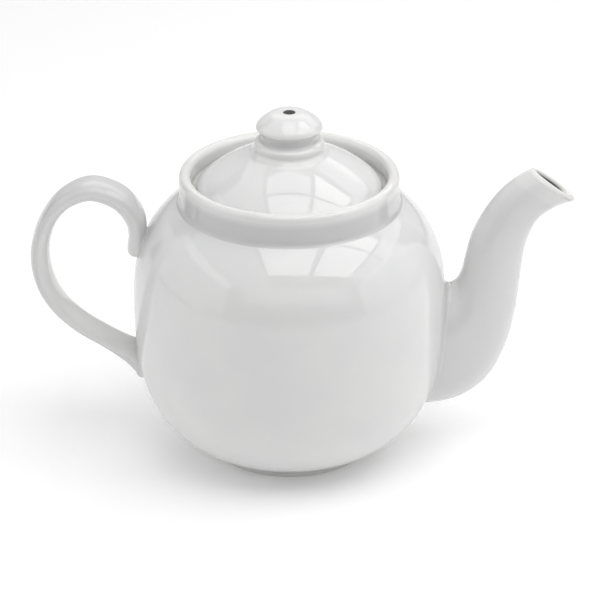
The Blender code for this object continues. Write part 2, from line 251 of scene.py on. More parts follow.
# ---------------------------------------------------------------- meshes
def hollows(profile, closed):
    """How hollow (+) or sharp (-) a profile is at each point; hollows are painted greyer as pooled glaze
    and painted shade, sharp edges lighter as thin glaze and painted highlight.
    """
    if closed:
        before, after = np.roll(profile, 1, 0), np.roll(profile, -1, 0)
    else:
        before = np.vstack((profile[:1], profile[:-1]))
        after = np.vstack((profile[1:], profile[-1:]))
    run_in, run_out = profile - before, after - profile
    turn = run_in[:, 0] * run_out[:, 1] - run_in[:, 1] * run_out[:, 0]
    length = np.linalg.norm(run_in, axis=1) * np.linalg.norm(run_out, axis=1)
    bend = np.arcsin(np.clip(turn / np.maximum(length, 1e-9), -1.0, 1.0))
    reach = np.maximum(np.linalg.norm(after - before, axis=1) / 2.0, 0.2)
    bend = bend / reach
    smooth = np.zeros_like(bend)
    for i, point in enumerate(profile):
        weight = np.exp(-(np.linalg.norm(profile - point, axis=1) / 1.2) ** 2) * reach
        smooth[i] = (bend * weight).sum() / weight.sum()
    return smooth


def turned(profile, closed, steps=TURN_STEPS):
    """Surface turned about the pot's axis from a loop, or from a path between two poles."""
    area = np.sum(profile[:, 0] * np.roll(profile[:, 1], -1) - np.roll(profile[:, 0], -1) * profile[:, 1])
    if area < 0.0:
        profile = profile[::-1]
    glaze_and_shading_paint = -hollows(profile, closed)
    angle = np.arange(steps) * (2.0 * math.pi / steps)
    rings = profile if closed else profile[1:-1]
    ring_shading_paint = glaze_and_shading_paint if closed else glaze_and_shading_paint[1:-1]
    points = np.empty((len(rings), steps, 3))
    points[:, :, 0] = rings[:, :1] * np.cos(angle)
    points[:, :, 1] = rings[:, :1] * np.sin(angle)
    points[:, :, 2] = rings[:, 1:]
    points = points.reshape(-1, 3)
    vertex_shading_paint = np.repeat(ring_shading_paint, steps)
    faces = []
    for i in range(len(rings) if closed else len(rings) - 1):
        k = (i + 1) % len(rings)
        for j in range(steps):
            m = (j + 1) % steps
            faces.append((i * steps + j, i * steps + m, k * steps + m, k * steps + j))
    if not closed:
        first, last = len(points), len(points) + 1
        points = np.vstack((points, (0.0, 0.0, profile[0, 1]), (0.0, 0.0, profile[-1, 1])))
        vertex_shading_paint = np.concatenate((vertex_shading_paint, (0.0, 0.0)))
        end = (len(rings) - 1) * steps
        for j in range(steps):
            m = (j + 1) % steps
            faces.append((first, m, j))
            faces.append((last, end + j, end + m))
    return points, faces, vertex_shading_paint


def skin(rows, loop):
    """Quads between rows of points; each row is a closed ring, and loop joins last row to first."""
    rows = np.asarray(rows)
    count, sides = rows.shape[:2]
    faces = []
    for i in range(count if loop else count - 1):
        k = (i + 1) % count
        for j in range(sides):
            m = (j + 1) % sides
            faces.append((i * sides + j, i * sides + m, k * sides + m, k * sides + j))
    return rows.reshape(-1, 3), faces


def outward(points, faces):
    """The same faces, turned if they enclose their volume inside out."""
    quads = np.array([(*f, f[-1])[:4] for f in faces if len(f) < 5])
    a, b, c, d = (points[quads[:, k]] for k in range(4))
    volume = np.einsum("ij,ij->i", a, np.cross(b, c)).sum() + np.einsum("ij,ij->i", a, np.cross(c, d)).sum()
    return faces if volume > 0.0 else [tuple(reversed(f)) for f in faces]


def make_mesh(name, points, faces):
    mesh = bpy.data.meshes.new(name)
    shifted = (points + (AXIS_X, 0.0, 0.0)) * MM
    mesh.from_pydata(shifted.tolist(), [], outward(points, faces))
    mesh.shade_smooth()
    return mesh


def paint(mesh, label, values):
    layer = mesh.attributes.get(label) or mesh.attributes.new(label, "FLOAT", "POINT")
    layer.data.foreach_set("value", np.asarray(values, np.float32))


def place(name, mesh, node, body, glaze_and_shading_paint, bare=None):
    """Put a finished mesh in the scene as the piece that stands for a CAD node."""
    count = len(mesh.vertices)
    paint(mesh, "glaze_and_painted_shading", np.clip(glaze_and_shading_paint, -1.0, 2.0) if np.ndim(glaze_and_shading_paint) else np.full(count, glaze_and_shading_paint))
    paint(mesh, "bare", np.zeros(count) if bare is None else bare)
    obj = bpy.data.objects.new(name, mesh)
    bpy.context.scene.collection.objects.link(obj)
    mesh.materials.clear()
    mesh.materials.append(glaze)
    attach(obj, body)
    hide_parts(node)


def ease(low, high, value):
    t = np.clip((value - low) / (high - low), 0.0, 1.0)
    return t * t * (3.0 - 2.0 * t)


# ---------------------------------------------------------------- glazed porcelain
def porcelain():
    """White clay under clear glaze: slow waves, hollows greyed as pooled glaze plus painted shade, edges
    lightened as thin glaze plus painted highlight, bores painted near-black as painted shade, bare seats.
    """
    material = bpy.data.materials.new("glazed_porcelain")
    material.use_nodes = True
    tree = material.node_tree
    shader = tree.nodes["Principled BSDF"]
    link = tree.links.new

    def add(kind, **settings):
        node = tree.nodes.new(kind)
        for key, value in settings.items():
            if hasattr(node, key):
                setattr(node, key, value)
            else:
                node.inputs[key.replace("_", " ")].default_value = value
        return node

    coords = add("ShaderNodeTexCoord")

    def noise(scale, detail, roughness=0.5):
        node = add("ShaderNodeTexNoise", Scale=scale, Detail=detail, Roughness=roughness)
        link(coords.outputs["Object"], node.inputs["Vector"])
        return node.outputs["Fac"]

    def remap(value, low, high, to_low, to_high):
        node = add("ShaderNodeMapRange")
        for key, number in zip(("From Min", "From Max", "To Min", "To Max"), (low, high, to_low, to_high)):
            node.inputs[key].default_value = number
        link(value, node.inputs["Value"])
        return node.outputs["Result"]

    def math_node(operation, a, b):
        node = add("ShaderNodeMath", operation=operation)
        for socket, value in zip(node.inputs, (a, b)):
            if isinstance(value, (int, float)):
                socket.default_value = value
            else:
                link(value, socket)
        return node.outputs[0]

    def mix(factor, a, b):
        node = add("ShaderNodeMix", data_type="RGBA")
        for socket, value in ((node.inputs[0], factor), (node.inputs[6], a), (node.inputs[7], b)):
            if isinstance(value, tuple):
                socket.default_value = (*value, 1.0)
            else:
                link(value, socket)
        return node.outputs[2]

    glaze_and_painted_shading = add("ShaderNodeAttribute", attribute_name="glaze_and_painted_shading").outputs["Fac"]
    bare = add("ShaderNodeAttribute", attribute_name="bare").outputs["Fac"]

    body = mix(remap(noise(38.0, 3.0), 0.35, 0.68, 0.0, 1.0), (0.712, 0.714, 0.713), (0.737, 0.737, 0.732))
    # Painted tone: greyer above 0, as pooled glaze and painted shade; near-black above 1, as painted shade
    # in bores; lighter below 0, as thin glaze and painted highlight.
    body = mix(remap(glaze_and_painted_shading, 0.05, 0.5, 0.0, 1.0), body, (0.575, 0.578, 0.575))
    body = mix(remap(glaze_and_painted_shading, 1.0, 2.0, 0.0, 0.9), body, (0.12, 0.11, 0.1))
    body = mix(remap(glaze_and_painted_shading, -0.1, -0.7, 0.0, 0.7), body, (0.765, 0.757, 0.738))

    cells = add("ShaderNodeTexVoronoi", Scale=85.0)
    link(coords.outputs["Object"], cells.inputs["Vector"])
    tint = add("ShaderNodeSeparateColor")
    link(cells.outputs["Color"], tint.inputs["Color"])
    chosen = math_node("LESS_THAN", tint.outputs[0], 0.10)
    dot = remap(cells.outputs["Distance"], 0.018, 0.030, 0.35, 0.0)
    body = mix(math_node("MULTIPLY", chosen, dot), body, (0.42, 0.38, 0.33))

    grain = noise(2600.0, 2.0)
    clay = mix(remap(grain, 0.3, 0.7, 0.0, 1.0), (0.62, 0.605, 0.575), (0.71, 0.695, 0.665))
    edge = add("ShaderNodeMath", operation="ADD")
    link(bare, edge.inputs[0])
    link(remap(noise(900.0, 3.0), 0.2, 0.8, -0.16, 0.16), edge.inputs[1])
    bare_mask = remap(edge.outputs[0], 0.42, 0.58, 0.0, 1.0)
    slant = add("ShaderNodeLayerWeight", Blend=0.5)
    rim = remap(slant.outputs["Facing"], 0.6, 0.97, 0.0, 1.0)
    link(mix(bare_mask, body, clay), shader.inputs["Base Color"])

    gloss = remap(noise(120.0, 4.0, 0.6), 0.3, 0.7, 0.07, 0.12)
    rough = math_node("ADD", gloss, math_node("MULTIPLY", bare_mask, 0.5))
    link(rough, shader.inputs["Roughness"])
    glazed = math_node("SUBTRACT", 1.0, bare_mask)
    link(math_node("MULTIPLY", glazed, math_node("SUBTRACT", 1.0, rim)), shader.inputs["Coat Weight"])
    shader.inputs["Specular IOR Level"].default_value = 0.08
    shader.inputs["Coat Roughness"].default_value = 0.025
    shader.inputs["Coat IOR"].default_value = 1.5
    shader.inputs["IOR"].default_value = 1.5

    waves = add("ShaderNodeBump", Strength=1.0, Distance=0.00016)
    link(noise(34.0, 1.5, 0.4), waves.inputs["Height"])
    ripple = add("ShaderNodeBump", Strength=1.0, Distance=0.000012)
    link(noise(240.0, 2.0), ripple.inputs["Height"])
    link(waves.outputs["Normal"], ripple.inputs["Normal"])
    tooth = add("ShaderNodeBump", Strength=1.0, Distance=0.00002)
    link(math_node("MULTIPLY", grain, bare_mask), tooth.inputs["Height"])
    link(ripple.outputs["Normal"], tooth.inputs["Normal"])
    link(tooth.outputs["Normal"], shader.inputs["Normal"])
    link(ripple.outputs["Normal"], shader.inputs["Coat Normal"])
    return material


glaze = porcelain()

# ---------------------------------------------------------------- belly with its strainer
upper = quarter(BELLY_R, BELLY_TOP_H, BELLY_TOP_N, 1.0)
upper = upper[upper[:, 1] < BELLY_CUT_Z]
lower = quarter(BELLY_R, BELLY_LOW_H, BELLY_LOW_N, -1.0)
lower = lower[lower[:, 1] > FLOOR_Z]
outer = resample(np.vstack((lower[::-1], upper[1:])), 1.15)
inner_top = quarter(BELLY_R - WALL, BELLY_TOP_H - WALL, BELLY_TOP_N, 1.0)
inner_top = inner_top[inner_top[:, 1] < OPENING_UNDER_Z - 1.3]
inner_low = quarter(BELLY_R - WALL, BELLY_MID_Z - FLOOR_INNER_Z, BELLY_LOW_N, -1.0)
inner = resample(np.vstack((inner_top[::-1], inner_low[1:])), 2.0)
mouth = rounded([
    (outer[-1][0], outer[-1][1], 0.0), (OPENING_R, BELLY_CUT_Z, 0.2), (OPENING_R, OPENING_UNDER_Z, 1.4),
    (49.3, OPENING_UNDER_Z, 1.6), (inner[0][0], inner[0][1], 0.0),
])
belly_profile = np.vstack((line((0.0, FLOOR_Z), outer[0], 4.0)[:-1], outer, mouth[1:-1], inner))
points, faces, glaze_and_shading_paint = turned(belly_profile, closed=False)
belly_mesh = make_mesh("belly_porcelain", points, faces)


def drill_mesh():
    """All strainer drills as one mesh, each flared where it leaves the wall, as glaze rounds the hole."""
    all_points, all_faces = [], []
    for side, height in STRAINER_HOLES:
        wall_r = float(belly_radius(height))
        turn = math.asin(side / wall_r)
        stations = [(wall_r + 6.0, STRAINER_R + 3.0), (wall_r + STRAINER_FLARE, STRAINER_R + 1.2)]
        for degree in (0, 22, 45, 67, 90):
            a = math.radians(degree)
            widening = STRAINER_FLARE * (1.0 - math.sin(a))
            stations.append((wall_r - 0.1 - STRAINER_FLARE * math.sin(a), STRAINER_R + widening))
        for degree in (90, 67, 45, 22, 0):
            a = math.radians(degree)
            widening = STRAINER_FLARE * (1.0 - math.sin(a))
            stations.append((wall_r - 3.5 + STRAINER_FLARE * math.sin(a), STRAINER_R + widening))
        stations.append((wall_r - WALL - STRAINER_FLARE, STRAINER_R + 1.2))
        stations.append((wall_r - WALL - 6.0, STRAINER_R + 3.0))
        base = len(all_points)
        sides = 32
        for reach, radius in stations:
            for j in range(sides):
                b = 2.0 * math.pi * j / sides
                along = radius * math.cos(b)
                x = reach * math.cos(turn) - along * math.sin(turn)
                y = reach * math.sin(turn) + along * math.cos(turn)
                all_points.append((x, y, height + radius * math.sin(b)))
        for i in range(len(stations) - 1):
            for j in range(sides):
                m = (j + 1) % sides
                start, after = base + i * sides, base + (i + 1) * sides
                all_faces.append((start + j, start + m, after + m, after + j))
        all_faces.append(tuple(base + j for j in reversed(range(sides))))
        all_faces.append(tuple(base + (len(stations) - 1) * sides + j for j in range(sides)))
    return np.array(all_points), all_faces


def boolean(mesh, cutter_mesh):
    """Cut one mesh out of another and return the result as a plain mesh."""
    target = bpy.data.objects.new("cut_target", mesh)
    cutter = bpy.data.objects.new("cut_tool", cutter_mesh)
    for obj in (target, cutter):
        bpy.context.scene.collection.objects.link(obj)
    modifier = target.modifiers.new("cut", "BOOLEAN")
    modifier.operation = "DIFFERENCE"
    modifier.solver = "EXACT"
    modifier.object = cutter
    graph = bpy.context.evaluated_depsgraph_get()
    result = bpy.data.meshes.new_from_object(target.evaluated_get(graph))
    for obj in (target, cutter):
        bpy.data.objects.remove(obj)
    return result


drill_points, drill_faces = drill_mesh()
shifted = ((drill_points + (AXIS_X, 0.0, 0.0)) * MM).tolist()
tool = bpy.data.meshes.new("strainer_drills")
tool.from_pydata(shifted, [], drill_faces)
cutaway = boolean(belly_mesh, tool)
cutaway.name = "belly_porcelain"
belly_co = np.array([v.co for v in cutaway.vertices]) / MM - (AXIS_X, 0.0, 0.0)
belly_r = np.hypot(belly_co[:, 0], belly_co[:, 1])
in_hole = (belly_co[:, 0] > 60.0) & (np.abs(belly_r - belly_radius(belly_co[:, 2]) + 1.8) < 1.7)
place("belly_porcelain", cutaway, "belly", "pot", np.where(in_hole, -0.5, 0.0))

# ---------------------------------------------------------------- foot ring and rim collar
foot_fillet = 0.9
center_z, touch = fillet_on_belly(FOOT_R, foot_fillet, high=False)
end_deg = math.degrees(math.atan2(touch[1] - center_z, touch[0] - FOOT_R - foot_fillet)) % 360.0
foot_profile = np.vstack((
    rounded([
        (30.2, 5.2, 0.0), (30.2, FLOOR_Z + 0.03, 0.0), (FOOT_INNER_R, FLOOR_Z, 0.8),
        (FOOT_INNER_R, 0.0, 1.0), (FOOT_R, 0.0, 1.0), (FOOT_R, center_z, 0.0),
    ], 0.8),
    arc(FOOT_R + foot_fillet, center_z, foot_fillet, 180.0, end_deg)[1:],
    [touch + (0.5, 0.22), (FOOT_R + 1.0, 5.2)],
))
points, faces, glaze_and_shading_paint = turned(foot_profile, closed=True)
bare = ease(0.75, 0.35, points[:, 2])
mesh = make_mesh("foot_ring_porcelain", points, faces)
place("foot_ring_porcelain", mesh, "foot_ring", "pot", glaze_and_shading_paint, bare)

lip_r = (COLLAR_R - COLLAR_BORE_R) / 2.0
center_z, touch = fillet_on_belly(COLLAR_R, COLLAR_FILLET, high=True)
end_deg = math.degrees(math.atan2(touch[1] - center_z, touch[0] - COLLAR_R - COLLAR_FILLET)) % 360.0
collar_profile = np.vstack((
    rounded([
        (42.5, 118.0, 0.0), (42.5, 119.9, 0.0), (LEDGE_R, 119.9, 0.5), (LEDGE_R, LEDGE_Z, 0.6),
        (COLLAR_BORE_R, LEDGE_Z, 1.1), (COLLAR_BORE_R, COLLAR_TOP_Z - lip_r, 0.0),
    ], 1.0),
    arc(COLLAR_R - lip_r, COLLAR_TOP_Z - lip_r, lip_r, 180.0, 0.0, 7.0)[1:],
    line((COLLAR_R, COLLAR_TOP_Z - lip_r), (COLLAR_R, center_z), 1.0)[1:],
    arc(COLLAR_R + COLLAR_FILLET, center_z, COLLAR_FILLET, 180.0, end_deg, 5.0)[1:],
    [touch + (0.7, -0.62), (touch[0], 118.0)],
))
points, faces, glaze_and_shading_paint = turned(collar_profile, closed=True)
ring_r = np.hypot(points[:, 0], points[:, 1])
bare = ease(0.25, 0.1, np.abs(points[:, 2] - LEDGE_Z)) * ease(38.9, 39.6, ring_r) * ease(43.0, 42.4, ring_r)
# Painted shade: the outside of the collar is painted greyer, more so lower down towards the belly.
on_outside = ease(COLLAR_R - 1.0, COLLAR_R - 0.2, ring_r)
glaze_and_shading_paint = np.minimum(glaze_and_shading_paint, 1.0) + 0.6 * ease(133.2, 126.5, points[:, 2]) * on_outside
mesh = make_mesh("rim_collar_porcelain", points, faces)
place("rim_collar_porcelain", mesh, "rim_collar", "pot", glaze_and_shading_paint, bare)

# ---------------------------------------------------------------- lid
seat_z = LEDGE_Z + 0.06
dome_r = np.linspace(LID_CORNER_R, 13.0, 800)
dome_curve = resample(np.column_stack((dome_r, dome_z(dome_r))), 0.8)
edge_z = float(dome_z(LID_CORNER_R))
under = spline([
    (34.9, LID_UNDER_Z), (34.3, 129.2), (32.6, 131.9), (28.6, 134.8),
    (23.0, 137.4), (16.0, 139.8), (9.0, 140.9), (5.0, LID_CROWN_Z),
], 1.2)
lid_profile = np.vstack((
    rounded([
        (35.6, LID_UNDER_Z, 0.0), (35.6, seat_z, 0.0),
        (LID_EDGE_R, seat_z, 0.45), (LID_CORNER_R, edge_z, 0.0),
    ], 0.8),
    dome_curve[1:],
    rounded([
        (12.9, float(dome_z(13.0)) - 0.3, 0.0), (VENT_LOW_R + 0.5, 145.0, 0.3),
        (VENT_LOW_R + 0.5, LID_CROWN_Z, 0.7), (5.0, LID_CROWN_Z, 0.0),
    ], 1.0),
    under[::-1][1:],
))
points, faces, glaze_and_shading_paint = turned(lid_profile, closed=True)
ring_r = np.hypot(points[:, 0], points[:, 1])
bare = ease(0.3, 0.1, np.abs(points[:, 2] - seat_z)) * ease(38.4, 39.0, ring_r)
mesh = make_mesh("lid_dome_porcelain", points, faces)
place("lid_dome_porcelain", mesh, "lid_dome", "lid", glaze_and_shading_paint, bare)

skirt_profile = rounded([
    (SKIRT_R - 0.9, SKIRT_ROOT_Z, 0.0), (SKIRT_R + 0.45, 126.35, 0.0),
    (SKIRT_R, 125.6, 0.8), (SKIRT_R, 121.0, 4.0), (SKIRT_R - 0.6, SKIRT_LOW_Z, 1.0),
    (SKIRT_BORE_R, SKIRT_LOW_Z, 1.0), (SKIRT_BORE_R, SKIRT_ROOT_Z, 0.0),
    (SKIRT_R - 0.9, SKIRT_ROOT_Z, 0.0),
], 0.9)[:-1]
points, faces, glaze_and_shading_paint = turned(skirt_profile, closed=True)
place("lid_skirt_porcelain", make_mesh("lid_skirt_porcelain", points, faces), "lid_skirt", "lid", glaze_and_shading_paint)

cap = spline([
    (3.7, 162.95), (5.6, 162.9), (7.4, 162.5), (9.0, 161.8), (10.5, 160.8), (12.1, 159.6),
    (13.4, 158.4), (14.25, 157.3), (14.65, 156.4), (14.68, 155.95),
], 0.5)
waist = spline([
    (14.48, 155.6), (13.6, 154.85), (12.9, 153.9), (12.5, 152.8), (12.45, 151.5), (13.1, 150.35),
    (14.5, 149.75), (15.4, 148.9), (KNOB_FOOT_R, 147.7),
    (KNOB_FOOT_R, 146.2), (KNOB_FOOT_R, 144.2),
], 0.45)
knob_profile = np.vstack((
    rounded([
        (KNOB_FOOT_R, KNOB_LOW_Z, 0.0), (VENT_LOW_R, KNOB_LOW_Z, 0.0),
        (VENT_LOW_R, 153.6, 0.6), (VENT_R, 155.8, 0.8),
        (VENT_R, KNOB_TOP_Z, 0.4), (3.6, 162.96, 0.0),
    ], 1.0),
    cap,
    arc(14.28, 155.95, 0.4, 0.0, -60.0, 20.0)[1:],
    waist[1:],
))
points, faces, glaze_and_shading_paint = turned(knob_profile, closed=True, steps=KNOB_STEPS)
# The vent's bore is painted near-black as painted shade.
bore = np.hypot(points[:, 0], points[:, 1]) < VENT_R + 0.12
glaze_and_shading_paint = np.where(bore, VENT_PAINTED_SHADE, np.minimum(glaze_and_shading_paint, 1.0))
place("knob_porcelain", make_mesh("knob_porcelain", points, faces), "knob", "lid", glaze_and_shading_paint)

# Slip that runs round under the knob, hollow between its side and the dome.
slope = spline([
    (15.55, 147.0), (15.72, 146.4), (16.1, 145.65), (16.8, 144.95),
    (17.9, float(dome_z(17.9)) + 0.12), (19.4, float(dome_z(19.4)) - 0.04),
], 0.3)
slip_profile = np.vstack((slope, [(19.2, 142.4), (15.2, KNOB_LOW_Z), (15.2, 146.8)]))
points, faces, glaze_and_shading_paint = turned(slip_profile, closed=True, steps=KNOB_STEPS)
mesh = make_mesh("knob_slip_joint_porcelain", points, faces)
place("knob_slip_joint_porcelain", mesh, "knob_slip_joint", "lid", glaze_and_shading_paint)


# ---------------------------------------------------------------- spout
def spout_point(share, angle, inset=0.0):
    """Point on the spout's skin, drawn in by inset, more so at the pouring tip."""
    rows = cardinal(SPOUT_CHORDS, share)
    ux, uz, lx, lz, wide = rows.T
    half = np.column_stack(((ux - lx) / 2.0, (uz - lz) / 2.0))
    length = np.linalg.norm(half, axis=1)
    across = half / length[:, None]
    tip = MOUTH_TIP * ease(0.85, 1.0, share) * np.clip(-np.cos(angle), 0.0, 1.0) ** 2 * inset / SPOUT_WALL
    major = (length - inset - tip) * np.cos(angle)
    x = (ux + lx) / 2.0 + across[:, 0] * major
    z = (uz + lz) / 2.0 + across[:, 1] * major
    return np.column_stack((x, (wide - inset) * np.sin(angle), z))


def belly_distance(point):
    """Distance outside the belly's surface, measured level from the pot's axis."""
    return np.hypot(point[:, 0], point[:, 1]) - belly_radius(point[:, 2])


def root_shares(angles, inset, deep):
    """Where each line along the spout comes out of the wall, less a little depth."""
    dense = np.linspace(0.0, 0.6, 1200)
    found = []
    for angle in angles:
        outside = belly_distance(spout_point(dense, np.full(len(dense), angle), inset)) + deep
        last = np.nonzero(outside <= 0.0)[0]
        found.append(dense[last[-1]] if len(last) else 0.0)
    return np.array(found)


spout_angles = np.arange(SPOUT_SIDES) * (2.0 * math.pi / SPOUT_SIDES)
rows = []
roots = root_shares(spout_angles, 0.0, 1.4)
lip_start = 1.0 - LIP_SHARE * (1.0 + 0.9 * np.clip(-np.cos(spout_angles), 0.0, 1.0) ** 2)
for t in np.linspace(0.0, 1.0, SPOUT_ROWS):
    rows.append(spout_point(roots + (lip_start - roots) * t, spout_angles))
for degree in np.linspace(0.0, 180.0, LIP_ROWS):
    a = math.radians(degree)
    share = lip_start + (1.0 - lip_start) * math.sin(a)
    rows.append(spout_point(share, spout_angles, SPOUT_LIP * (1.0 - math.cos(a))))
bore_roots = root_shares(spout_angles, SPOUT_WALL, 0.5)
for t in np.linspace(0.0, 1.0, BORE_ROWS):
    inset = SPOUT_WALL - (SPOUT_WALL - 2.0 * SPOUT_LIP) * (1.0 - ease(0.0, 0.15, t))
    rows.append(spout_point(lip_start + (bore_roots - lip_start) * t, spout_angles, inset))
points, faces = skin(rows, loop=True)
# Painted shade: the whole outside of the spout is painted a little greyer; over the last rows before the
# lip it turns lighter as a painted highlight. The lip ring is painted lighter, as thin glaze and painted
# highlight, and the bore near-black as painted shade.
glaze_and_shading_paint = np.full(len(points), SPOUT_PAINTED_SHADE)
for k in range(1, LIP_FADE_ROWS):
    row = slice((SPOUT_ROWS - k) * SPOUT_SIDES, (SPOUT_ROWS - k + 1) * SPOUT_SIDES)
    glaze_and_shading_paint[row] = SPOUT_PAINTED_SHADE - 0.6 * ease(LIP_FADE_ROWS, 0.0, k)
glaze_and_shading_paint[SPOUT_ROWS * SPOUT_SIDES:(SPOUT_ROWS + LIP_ROWS) * SPOUT_SIDES] = LIP_THIN_GLAZE_AND_HIGHLIGHT
glaze_and_shading_paint[(SPOUT_ROWS + LIP_ROWS) * SPOUT_SIDES:] = BORE_PAINTED_SHADE
place("spout_porcelain", make_mesh("spout_porcelain", points, faces), "spout", "pot", glaze_and_shading_paint)
spout_outer = skin(rows[:SPOUT_ROWS], loop=False)


# ---------------------------------------------------------------- handle
def strap_ring(share, swell=0.0, slide=0.0, scale=1.0):
    """Oval section of the handle, grown by swell and slid along the centre line."""
    x, z, thick, wide = cardinal(HANDLE_LINE, share)[0]
    before = cardinal(HANDLE_LINE, max(0.0, share - 0.004))[0]
    after = cardinal(HANDLE_LINE, min(1.0, share + 0.004))[0]
    run = np.array((after[0] - before[0], after[1] - before[1]))
    run /= np.linalg.norm(run)
    angle = np.arange(HANDLE_SIDES) * (2.0 * math.pi / HANDLE_SIDES)
    away = np.sign(np.cos(angle)) * np.abs(np.cos(angle)) ** (2.0 / HANDLE_POWER) * (thick + swell) * scale
    side = np.sign(np.sin(angle)) * np.abs(np.sin(angle)) ** (2.0 / HANDLE_POWER) * (wide + swell) * scale
    return np.column_stack((x + run[0] * slide - run[1] * away, side, z + run[1] * slide + run[0] * away))


ends = [math.radians(d) for d in np.linspace(90.0, 9.0, 9)]
rows = []
for scale in (0.02, 0.3, 0.55, 0.8):
    rows.append(strap_ring(HANDLE_FIRST, -END_ROUND, -END_ROUND, scale))
for a in ends:
    rows.append(strap_ring(HANDLE_FIRST, -END_ROUND * (1.0 - math.cos(a)), -END_ROUND * math.sin(a)))
for share in np.linspace(HANDLE_FIRST, HANDLE_LAST, 300):
    rows.append(strap_ring(share))
for a in reversed(ends):
    rows.append(strap_ring(HANDLE_LAST, -END_ROUND * (1.0 - math.cos(a)), END_ROUND * math.sin(a)))
for scale in (0.8, 0.55, 0.3, 0.02):
    rows.append(strap_ring(HANDLE_LAST, -END_ROUND, END_ROUND, scale))
handle_outer = skin(rows, loop=False)
points, faces = handle_outer[0].copy(), list(handle_outer[1])
faces.append(tuple(reversed(range(HANDLE_SIDES))))
faces.append(tuple(len(points) - HANDLE_SIDES + j for j in range(HANDLE_SIDES)))
deep = np.minimum(belly_distance(points) + 1.5, 0.0)
radius = np.hypot(points[:, 0], points[:, 1])
points[:, :2] *= ((radius - deep) / radius)[:, None]
# Painted shade and painted highlight: the handle's inner face is painted greyer and its outer face lighter.
facing_out = np.cos(np.arange(HANDLE_SIDES) * (2.0 * math.pi / HANDLE_SIDES))
section_shading_paint = 0.4 * ease(0.1, -0.5, facing_out) - 0.45 * ease(0.1, 0.7, facing_out)
glaze_and_shading_paint = np.tile(section_shading_paint, len(points) // HANDLE_SIDES)
place("handle_porcelain", make_mesh("handle_porcelain", points, faces), "handle", "pot", glaze_and_shading_paint)


# ---------------------------------------------------------------- luted joints
def joint_loop(points, faces, keep, count=220):
    """Smooth loop where a piece's skin meets the belly, in order round the joint."""
    outside = belly_distance(points)
    pairs = set()
    for face in faces:
        for k in range(len(face)):
            a, b = face[k], face[(k + 1) % len(face)]
            if (outside[a] > 0.0) != (outside[b] > 0.0):
                pairs.add((min(a, b), max(a, b)))
    pairs = np.array(sorted(pairs))
    share = outside[pairs[:, 0]] / (outside[pairs[:, 0]] - outside[pairs[:, 1]])
    cross = points[pairs[:, 0]] + (points[pairs[:, 1]] - points[pairs[:, 0]]) * share[:, None]
    cross = cross[keep(cross)]
    middle = cross.mean(0)
    order = np.argsort(np.arctan2(cross[:, 2] - middle[2], cross[:, 1] - middle[1]))
    cross = cross[order]
    closed = np.vstack((cross, cross[:1]))
    run = np.concatenate(([0.0], np.cumsum(np.linalg.norm(np.diff(closed, axis=0), axis=1))))
    places = np.arange(count) * run[-1] / count
    loop = np.column_stack([np.interp(places, run, closed[:, k]) for k in range(3)])
    return blur(loop, 1.2 * count / run[-1])


def blur(values, width):
    """Running soft average round a closed loop."""
    count = len(values)
    offset = np.arange(-count // 2, count // 2)
    weight = np.exp(-(offset / max(width, 0.3)) ** 2)
    weight /= weight.sum()
    spread = np.zeros_like(values)
    for shift, share in zip(offset, weight):
        if share > 1e-5:
            spread += np.roll(values, shift, axis=0) * share
    return spread


def unit(vectors):
    return vectors / np.maximum(np.linalg.norm(vectors, axis=1), 1e-9)[:, None]


def belly_normal(point):
    """Outward normal of the belly's surface."""
    slope = (belly_radius(point[:, 2] + 0.05) - belly_radius(point[:, 2] - 0.05)) / 0.1
    level = point[:, :2] / np.hypot(point[:, 0], point[:, 1])[:, None]
    return unit(np.column_stack((level, -slope)))


def onto_belly(point):
    radius = np.hypot(point[:, 0], point[:, 1])
    moved = point.copy()
    moved[:, :2] *= (belly_radius(point[:, 2]) / radius)[:, None]
    return moved


